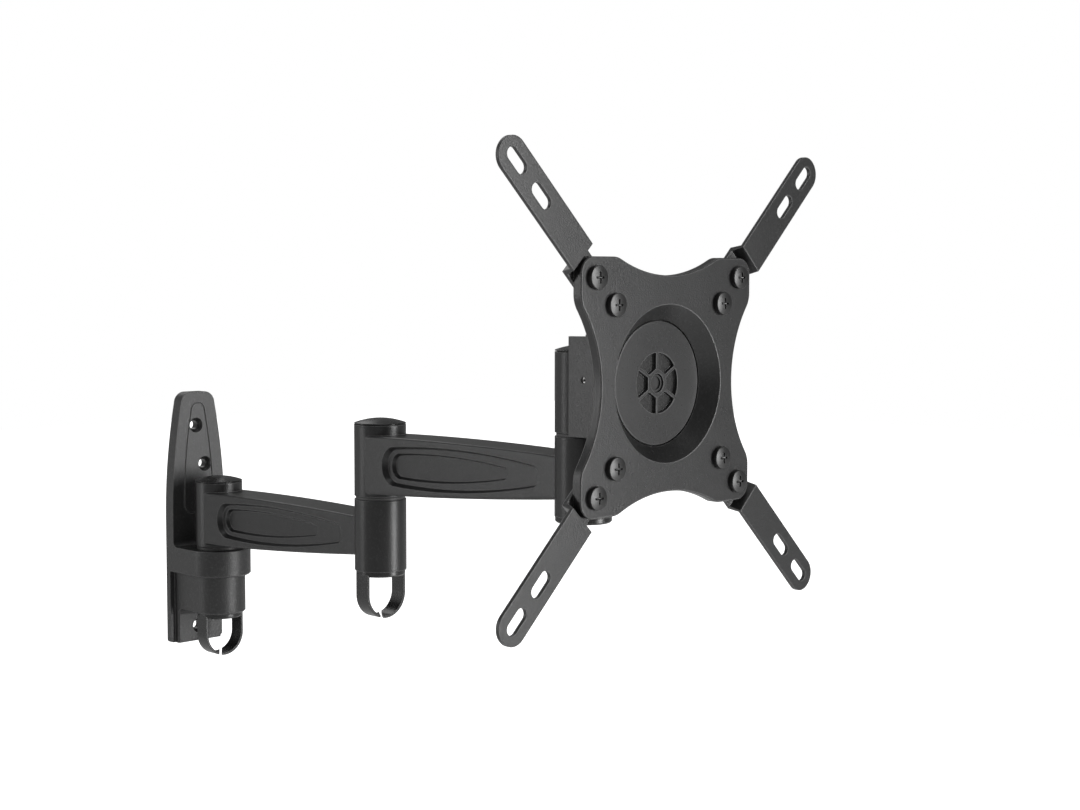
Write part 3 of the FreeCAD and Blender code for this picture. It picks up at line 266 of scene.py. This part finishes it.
world_out = world_tree.nodes.new("ShaderNodeOutputWorld")
links.new(seen_by_camera.outputs[0], world_out.inputs["Surface"])

low, high = Vector(cad_box[0]), Vector(cad_box[1])
middle = (low + high) / 2


def lamp(name, offset, width, height, radiance):
    """A rectangular lamp at middle + offset, facing the middle.

    A lamp's power is pi * area * radiance, where radiance is how bright its surface looks.
    """
    data = bpy.data.lights.new(name, "AREA")
    data.shape = "RECTANGLE"
    data.size = width
    data.size_y = height
    data.energy = radiance * math.pi * width * height
    holder = bpy.data.objects.new(name, data)
    holder.location = middle + Vector(offset)
    holder.rotation_euler = (-Vector(offset)).to_track_quat("-Z", "Y").to_euler()
    bpy.context.scene.collection.objects.link(holder)


lamp("front_lamp", offset=(0.87, -2.02, 0.12), width=0.62, height=1.60, radiance=13.0)
lamp("left_strip", offset=(-1.60, 1.25, 0.35), width=0.36, height=1.50, radiance=4.0)
lamp("top_lamp", offset=(0.10, -0.10, 1.80), width=1.20, height=1.20, radiance=1.8)
lamp("back_lamp", offset=(0.50, 1.80, 1.30), width=1.20, height=1.00, radiance=1.3)
print("room", room_level, "and four lamps round", list(middle))

# %% [markdown]
# ## The floor
# The mount hangs on a wall, so the floor lies far enough below that its shadow stays out of
# the picture. It is a plain pale sheet that fades to the white of the background.

# %% Floor
floor_drop = 0.42
floor_half = 6.0
floor_grey = 0.8
fade_from, fade_to = 0.7, 1.6
near_glow = 0.38

floor_mesh = bpy.data.meshes.new("floor")
floor_level = low.z - floor_drop
floor_mesh.from_pydata(
    [
        (-floor_half, -floor_half, floor_level),
        (floor_half, -floor_half, floor_level),
        (floor_half, floor_half, floor_level),
        (-floor_half, floor_half, floor_level),
    ],
    [],
    [(0, 1, 2, 3)],
)
floor = bpy.data.objects.new("floor", floor_mesh)
bpy.context.scene.collection.objects.link(floor)

floor_graph = Graph("pale_floor")
paint = floor_graph.add("BsdfDiffuse", {}, {"Color": grey(floor_grey)})
reach = floor_graph.add("VectorMath", {"operation": "LENGTH"}, [floor_graph.place], "Value")
far = reach.step(fade_from, fade_to)
fade = near_glow + (1 - near_glow) * far
glow = floor_graph.add("Emission", {}, {"Color": grey(1.0), "Strength": fade})
seen = floor_graph.add("LightPath", {}, {}, output="Is Camera Ray")
lifted = floor_graph.add("AddShader", {}, [paint, glow])
sheet = floor_graph.add("MixShader", {}, [seen, paint, lifted])
floor_graph.add("OutputMaterial", {}, {"Surface": sheet})
floor_mesh.materials.append(floor_graph.material)
print("floor at", floor_level)

# %% [markdown]
# ## Sandy powder coat
# The castings wear a thick polyester powder, baked until it draws up into fine grains about
# half a millimetre across. The grains catch the light as speckle. Where a casting turns a
# corner the coat draws thin, so it is painted a little paler there, partly as wear and partly
# as a painted highlight, and it is smoother there. Handling leaves broad, faint differences in
# sheen. Countersinks and the disc's pockets are painted darker, as shade in the hollows, so the
# coat takes a function that says where that painted shade goes.


# %% Powder coat
cloud_size = 0.045
edge_radius = 0.0008
edge_wear_and_highlight_size = 0.004
# Two dark greys of the painted shade in countersinks and pockets, and the roughness there.
painted_shade_dark, painted_shade_light = grey(0.004), grey(0.030)
hollow_sheen = 0.24


def powder_coat(name, level, grain, relief, sheen, edge_grey, sparkle=0.04, hollow_shade=None):
    """Black powder: grain and relief in metres, sheen is the roughness, and the next number is
    the grey painted on the edges, partly as wear and partly as a painted highlight.

    sparkle is how much glossier the tops of the grains are than the hollows between them.
    The function for the hollows gives two fields: 1 where painted shade darkens the coat, and
    how raised the surface is there.
    """
    graph = Graph(name)
    clouds = graph.noise(cloud_size, detail=3.0)
    sand = graph.noise(grain * 2.2, detail=3.0, roughness=0.62)
    specks = graph.grains(grain)
    soft_normal, corner = graph.rounded_edges(edge_radius)
    # The edges are painted paler: partly wear where the coat draws thin, partly a painted
    # highlight.
    edge_wear_and_highlight = corner.step(0.01, 0.10) * (0.5 + 0.5 * graph.noise(edge_wear_and_highlight_size, detail=3.0))
    bright = sand.step(0.50, 0.74)
    shade = 0.15 + 0.25 * clouds + 0.60 * bright
    base = graph.blend(shade, grey(level * 0.45), grey(level * 2.2, -0.01))
    colour = graph.blend(edge_wear_and_highlight, base, grey(edge_grey))
    rough = sheen + 0.06 * (clouds - 0.5) - sparkle * (bright - 0.4)
    height = 0.55 * sand + 0.45 * (1 - specks)
    if hollow_shade:
        # Painted shade: the hollows are coloured darker, between two dark greys by their rings
        # or grit.
        shade_mask, raised = hollow_shade(graph)
        colour = graph.blend(shade_mask, colour, graph.blend(raised, painted_shade_dark, painted_shade_light))
        height = height * (1 - shade_mask) + raised * shade_mask
        rough = rough * (1 - shade_mask) + hollow_sheen * shade_mask
    normal = graph.bump(height, relief, soft_normal)
    return graph.surface(
        {"Base Color": colour, "Roughness": rough, "Normal": normal},
        Specular_IOR_Level=0.5,
    )


sink_radius = 0.00472
sink_blur = 0.0001
turning_pitch = 0.00058


def countersink_rings_and_shade(graph):
    """Painted shade inside each countersink, in rings left by the cutter: a sine of the distance
    from the nearest screw hole's axis.
    """
    nearest = None
    for mount in frame["record"]["mounts"]:
        if mount["kind"] == "bore":
            centre = tuple(mount["pos_m"])
            from_hole = graph.add("VectorMath", {"operation": "SUBTRACT"}, [graph.place, centre])
            flat = graph.add(
                "VectorMath", {"operation": "MULTIPLY"}, [from_hole, (1.0, 0.0, 1.0)]
            )
            away = graph.add("VectorMath", {"operation": "LENGTH"}, [flat], "Value")
            nearest = away if nearest is None else nearest.sum("MINIMUM", away)
    ridge = (nearest * (math.tau / turning_pitch)).sum("SINE") * 0.5 + 0.5
    return 1 - nearest.step(sink_radius - sink_blur, sink_radius + sink_blur), ridge


disc_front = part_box("clamp_disc")[0][1]
pocket_shade_from, pocket_shade_full = 0.0008, 0.0013
casting_grit = 0.0012


def disc_pocket_shade(graph):
    """Painted shade wherever the disc lies about a millimetre or more behind its front."""
    depth = graph.add("SeparateXYZ", {}, [graph.place], output="Y") - disc_front
    return depth.step(pocket_shade_from, pocket_shade_full), graph.noise(casting_grit, detail=3.0)


cast_coat = powder_coat(
    "cast_powder_coat", level=0.010, grain=0.00060, relief=0.00009, sheen=0.30, edge_grey=0.11
)
# The wall bracket's coat is painted lighter than the other castings, as light on the wall plate;
# its countersinks carry painted shade.
bracket_coat_painted_lighter = powder_coat(
    "bracket_coat_painted_light",
    level=0.018,
    grain=0.00062,
    relief=0.00015,
    sheen=0.36,
    edge_grey=0.12,
    sparkle=0.10,
    hollow_shade=countersink_rings_and_shade,
)
# The disc's pockets are painted dark, as shade in the hollows.
disc_coat_with_painted_shade = powder_coat(
    "disc_coat_painted_shade",
    level=0.011,
    grain=0.00055,
    relief=0.00006,
    sheen=0.29,
    edge_grey=0.16,
    hollow_shade=disc_pocket_shade,
)
strip_coat = powder_coat(
    "strip_powder_coat", level=0.010, grain=0.00050, relief=0.00008, sheen=0.30, edge_grey=0.14
)
# The screen plate's edges are painted palest, partly as wear and partly as a painted highlight.
plate_coat_wear_and_highlight = powder_coat(
    "plate_coat_edge_wear_and_highlight", level=0.010, grain=0.00055, relief=0.00009, sheen=0.29, edge_grey=0.22
)
print([coat.name for coat in (cast_coat, bracket_coat_painted_lighter, disc_coat_with_painted_shade, strip_coat, plate_coat_wear_and_highlight)])

# %% [markdown]
# ## Moulded plastic
# Caps and cable clips are glass-filled nylon from a spark-eroded mould: satin, almost
# black, with a very fine leather of pits and soft flow marks.


# %% Plastic
def moulded_plastic(name, level, sheen):
    """Satin black plastic with a fine eroded surface and faint flow marks."""
    graph = Graph(name)
    flow = graph.noise(0.018, detail=4.0, roughness=0.6)
    pits = graph.noise(0.0007, detail=2.0)
    soft_normal, corner = graph.rounded_edges(0.0004)
    base = graph.blend(flow, grey(level * 0.75), grey(level * 1.3))
    colour = graph.blend(corner.step(0.03, 0.4) * 0.5, base, grey(level * 2.2))
    rough = sheen + 0.14 * (flow - 0.5) + 0.08 * (pits - 0.5)
    normal = graph.bump(pits, 0.00004, soft_normal)
    return graph.surface(
        {"Base Color": colour, "Roughness": rough, "Normal": normal},
        Specular_IOR_Level=0.5,
    )


cap_plastic = moulded_plastic("cap_plastic", level=0.009, sheen=0.28)
dark_nylon = moulded_plastic("dark_nylon", level=0.045, sheen=0.5)
print(cap_plastic.name, dark_nylon.name)

# %% [markdown]
# ## Blackened and plated steel
# Screws are chemically blackened: a thin dark skin over steel that rubs off first on the
# rims. The pivots inside are zinc plated, a soft bright grey with a faint crystal mottle.
# Both are one function with another level of grey and another share of metal.


# %% Steel
def steel(name, level, metal, sheen, edge_grey):
    """Steel under a thin skin: metal is how much of the gloss is metallic."""
    graph = Graph(name)
    mottle = graph.noise(0.0022, detail=4.0, roughness=0.65)
    drift = graph.noise(0.02, detail=2.0)
    soft_normal, corner = graph.rounded_edges(0.00025)
    rubbed = corner.step(0.04, 0.45) * (0.4 + 0.6 * mottle)
    base = graph.blend(mottle, grey(level * 0.8), grey(level * 1.2, 0.01))
    colour = graph.blend(rubbed, base, grey(edge_grey))
    rough = sheen + 0.16 * (mottle - 0.5) + 0.10 * (drift - 0.5)
    normal = graph.bump(mottle, 0.00002, soft_normal)
    return graph.surface(
        {"Base Color": colour, "Roughness": rough, "Normal": normal},
        Metallic=metal,
    )


screw_black = steel("screw_black", level=0.010, metal=0.05, sheen=0.32, edge_grey=0.08)
zinc_plate = steel("zinc_plate", level=0.55, metal=1.0, sheen=0.34, edge_grey=0.72)
print(screw_black.name, zinc_plate.name)

# %% [markdown]
# ## Each piece gets its finish
# The record names a material slot for every piece, so one small table from slot to finish
# dresses the whole frame. Three castings have a coat of their own: the wall plate is sandier,
# painted lighter as light and with painted shade in its countersinks; the disc's pockets are
# painted dark as shade; and the screen plate's edges are painted palest, as wear and highlight.

# %% Dress the frame
finish_of_slot = {
    "coated_casting": cast_coat,
    "coated_strip": strip_coat,
    "moulded_plastic": cap_plastic,
    "black_screw": screw_black,
    "pivot_steel": zinc_plate,
    "nylon": dark_nylon,
}
own_finish = {
    "wall_bracket": bracket_coat_painted_lighter,
    "clamp_disc": disc_coat_with_painted_shade,
    "screen_plate": plate_coat_wear_and_highlight,
}
for entry in frame["record"]["subparts"]:
    finish = own_finish.get(entry["node"], finish_of_slot[entry["material_slot"]])
    slots = nodes[entry["node"]].data.materials
    slots.clear()
    slots.append(finish)
print({slot: finish.name for slot, finish in finish_of_slot.items()})

# %% [markdown]
# ## Solids made of rings
# Screws, nuts and caps are all turned or nearly so: each is a stack of closed rings round an
# axis. One function skins such a stack. A ring need not be round, so a hexagon or a cross
# is only another radius for each angle.

# %% Skin rings into solids
sectors = 144
angles = np.arange(sectors) * math.tau / sectors
crease_angle = math.radians(32)


def rings_to_solid(name, rings, places, across, along, poles=True):
    """One mesh with a copy of the solid at each place.

    rings is a list of (radius, height); either may be an array over the angles. A point is
    place + radius * (cos(angle) * across[0] + sin(angle) * across[1]) + height * along.
    With poles the stack starts and ends on the axis; without, its last ring joins its first.
    """
    radius = np.array([np.broadcast_to(ring[0], sectors) for ring in rings])
    height = np.array([np.broadcast_to(ring[1], sectors) for ring in rings])
    local = (
        (radius * np.cos(angles))[..., None] * np.array(across[0])
        + (radius * np.sin(angles))[..., None] * np.array(across[1])
        + height[..., None] * np.array(along)
    )
    count = len(rings)
    turn = np.arange(sectors)
    step_on = (turn + 1) % sectors
    start, column = np.meshgrid(np.arange(count - poles), turn, indexing="ij")
    after, beside = (start + 1) % count, (column + 1) % sectors
    quads = np.stack(
        [
            start * sectors + column,
            start * sectors + beside,
            after * sectors + beside,
            after * sectors + column,
        ],
        axis=-1,
    ).reshape(-1, 4)
    points = local.reshape(-1, 3)
    fans = np.empty((0, 3), dtype=int)
    if poles:
        bottom, top = len(points), len(points) + 1
        points = np.vstack([points, local[0].mean(axis=0), local[-1].mean(axis=0)])
        last = (count - 1) * sectors
        fans = np.vstack(
            [
                np.stack([np.full(sectors, bottom), step_on, turn], axis=-1),
                np.stack([np.full(sectors, top), last + turn, last + step_on], axis=-1),
            ]
        )
    faces = []
    for number in range(len(places)):
        shift = number * len(points)
        faces += (quads + shift).tolist() + (fans + shift).tolist()
    copies = points + np.array(places)[:, None, :]
    mesh = bpy.data.meshes.new(name)
    mesh.from_pydata(copies.reshape(-1, 3).tolist(), [], faces)
    mesh.shade_smooth()
    mesh.set_sharp_from_angle(angle=crease_angle)
    piece = bpy.data.objects.new(name, mesh)
    bpy.context.scene.collection.objects.link(piece)
    return piece


def settle(piece, finish, body, node):
    """Dresses a piece, sets it on its body and lets it stand for a CAD node."""
    piece.data.materials.append(finish)
    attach(piece, body)
    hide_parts(node)
    print(piece.name, len(piece.data.polygons), "faces on", body)


mm = 0.001
facing_room = (((1, 0, 0), (0, 0, 1)), (0, -1, 0))
upright = (((1, 0, 0), (0, 1, 0)), (0, 0, 1))

# %% [markdown]
# ## Pan-head screws
# Eight screws clamp the extension arms. The head is a low crowned cylinder with a small
# broken edge. The cross recess is a ring like any other: its radius at an angle is where the
# ray leaves a cross of two bars, and its walls lean in as the punch leaves them.

# %% Screws
head_radius = 5.5 * mm
head_height = 3.0 * mm
crown = 0.65 * mm
rim_inset = 0.22 * mm
# Each pair: how far inward from the rim, and how far below the crown's edge.
rim_rounding = ((0.0, 0.26 * mm), (0.08 * mm, 0.09 * mm))
foot_rounding = 0.1 * mm
shank_radius = 2.5 * mm
shank_length = 11.0 * mm
tip_chamfer = 0.5 * mm
cross_half_length = 2.7 * mm
cross_half_width = 0.46 * mm
tiny = 1e-6


def cross_outline():
    """Radius of a cross of two bars: the nearer of the bar's end and the bar's side."""
    from_bar = np.abs((angles + math.pi / 4) % (math.pi / 2) - math.pi / 4)
    to_end = cross_half_length / np.cos(from_bar)
    to_side = cross_half_width / np.maximum(np.sin(from_bar), tiny)
    return np.minimum(to_end, to_side)


def crowned(radius):
    """Height of the head: full in the middle, lower by the crown's square law at the rim."""
    return head_height - crown * (radius / head_radius) ** 2


low_corner, high_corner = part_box("arm_screws")
plate_front = low_corner[1] + head_height
plate_middle = (low_corner[2] + high_corner[2]) / 2
hole_squares = (100.0 * mm, 75.0 * mm)
hole_places = [
    (right * square / 2, plate_middle + up * square / 2)
    for square in hole_squares
    for right in (1, -1)
    for up in (1, -1)
]

recess_lean = 0.86
arm_depth, extra_depth, middle_depth = 0.95 * mm, 0.7 * mm, 1.65 * mm
middle_part = 0.4

cross = cross_outline()
rim = head_radius - rim_inset
top_rings = [cross * (1 - part) + rim * part for part in (1.0, 0.7, 0.4, 0.15, 0.0)]
recess_radius = cross * recess_lean
recess_depth = arm_depth + extra_depth * (1 - recess_radius / cross_half_length)
screw_rings = [
    (shank_radius - tip_chamfer, -shank_length),
    (shank_radius, -shank_length + tip_chamfer),
    (shank_radius, 0.0),
    (head_radius - foot_rounding, 0.0),
    (head_radius, foot_rounding),
    *[(head_radius - inward, crowned(head_radius) - down) for inward, down in rim_rounding],
    *[(ring, crowned(ring)) for ring in top_rings],
    (recess_radius, crowned(recess_radius) - recess_depth),
    (recess_radius * middle_part, crowned(0.0) - middle_depth),
]
screws = rings_to_solid(
    "pan_head_screws",
    screw_rings,
    [(x, plate_front, z) for x, z in hole_places],
    *facing_room,
)
settle(screws, screw_black, "screen", "arm_screws")

# %% [markdown]
# ## Hexagon nuts
# A nut is a hexagon whose corners are turned down to a cone. At an angle the hexagon's radius
# is half its width over the cosine of the angle from the middle of a flat, and the cone lowers
# the corners by how far they stand outside the flats.

# %% Nuts
nut_half_width = 4.0 * mm
nut_height = 4.0 * mm
nut_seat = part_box("arm_nuts")[0][1]
cone_foot = nut_half_width * 0.97
cone_slope = math.tan(math.radians(30))
face_radius = nut_half_width * 0.95
bore = shank_radius - 0.02 * mm
bore_chamfer = 0.35 * mm

from_flat = np.abs((angles + math.pi / 6) % (math.pi / 3) - math.pi / 6)
hexagon = nut_half_width / np.cos(from_flat)
corner_drop = (hexagon - cone_foot) * cone_slope
nut_rings = [
    (bore, 0.0),
    (face_radius, 0.0),
    (hexagon, corner_drop),
    (hexagon, nut_height - corner_drop),
    (face_radius, nut_height),
    (bore + bore_chamfer, nut_height),
    (bore, nut_height - bore_chamfer),
]
nuts = rings_to_solid(
    "hexagon_nuts",
    nut_rings,
    [(x, nut_seat + nut_height, z) for x, z in hole_places],
    *facing_room,
    poles=False,
)
settle(nuts, screw_black, "screen", "arm_nuts")

# %% [markdown]
# ## Domed caps
# Each knuckle is closed by a snapped-in cap. Its lip stands on the casting with a fine groove
# below it, which reads as a dark line. The dome is a shallow arc: its height falls with the
# square of the radius, and the lip's edge is rounded.

# %% Caps
lip_radius = 14.5 * mm
groove_radius = 13.5 * mm
lip_foot = 0.50 * mm
lip_top = 0.95 * mm
lip_rounding = 0.12 * mm
lip_shoulder = 0.25 * mm
foot_slant = 0.05 * mm
dome_height = 3.6 * mm
dome_parts = (0.985, 0.9, 0.75, 0.55, 0.35, 0.15)
spigot_radius = 9.0 * mm
spigot_length = 0.6 * mm


def dome(radius):
    """Height of the dome over the knuckle's top."""
    return dome_height - (dome_height - lip_top) * (radius / lip_radius) ** 2


cap_rings = [
    (spigot_radius, -spigot_length),
    (spigot_radius, 0.0),
    (groove_radius, 0.0),
    (groove_radius, lip_foot - foot_slant),
    (lip_radius - lip_rounding, lip_foot),
    (lip_radius, lip_foot + lip_rounding),
    (lip_radius, lip_top - lip_shoulder),
    *[(lip_radius * part, dome(lip_radius * part)) for part in dome_parts],
]
for joint, body in (("wall", "first_arm"), ("elbow", "second_arm"), ("head", "head")):
    node = f"{joint}_dome_cap"
    cap_low, cap_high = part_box(node)
    centre_x = (cap_low[0] + cap_high[0]) / 2
    centre_y = (cap_low[1] + cap_high[1]) / 2
    foot = (centre_x, centre_y, cap_high[2] - dome_height)
    cap = rings_to_solid(f"{joint}_cap", cap_rings, [foot], *upright)
    settle(cap, cap_plastic, body, node)
